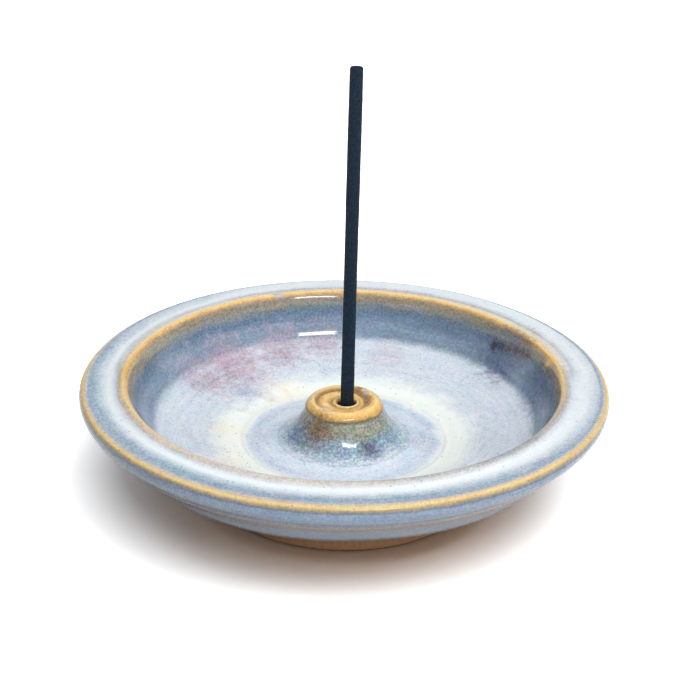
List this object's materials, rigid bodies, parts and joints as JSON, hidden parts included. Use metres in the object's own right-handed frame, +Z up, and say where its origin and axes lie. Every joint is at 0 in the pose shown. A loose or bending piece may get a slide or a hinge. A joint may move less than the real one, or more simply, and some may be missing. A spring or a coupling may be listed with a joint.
{
  "type": "incense burner",
  "caption": "Round stoneware dish with a broad glazed rim and a pierced cone in the middle that holds a stick of incense upright over the bowl.",
  "frame": {"origin": "centre of the foot ring, on the surface that the dish stands on", "axes": "+Z up along the dish's axis, and the stick leans towards +X"},
  "size_m": [0.1162, 0.1162, 0.0972],
  "materials": {
    "glazed_stoneware": "glossy floating-blue rutile glaze that breaks amber on the edges, over bare tan clay at the foot",
    "incense": "matt pressed wood powder, blue-black"
  },
  "bodies": {
    "dish": {"stoneware_dish": "glazed_stoneware"},
    "stick": {"incense_stick": "incense"}
  },
  "joints": [
    {"name": "stick_lift", "type": "slide", "parent": "dish", "child": "stick", "axis": [0.0126, 0, 0.9999], "range_m": [0, 0.04]}
  ]
}
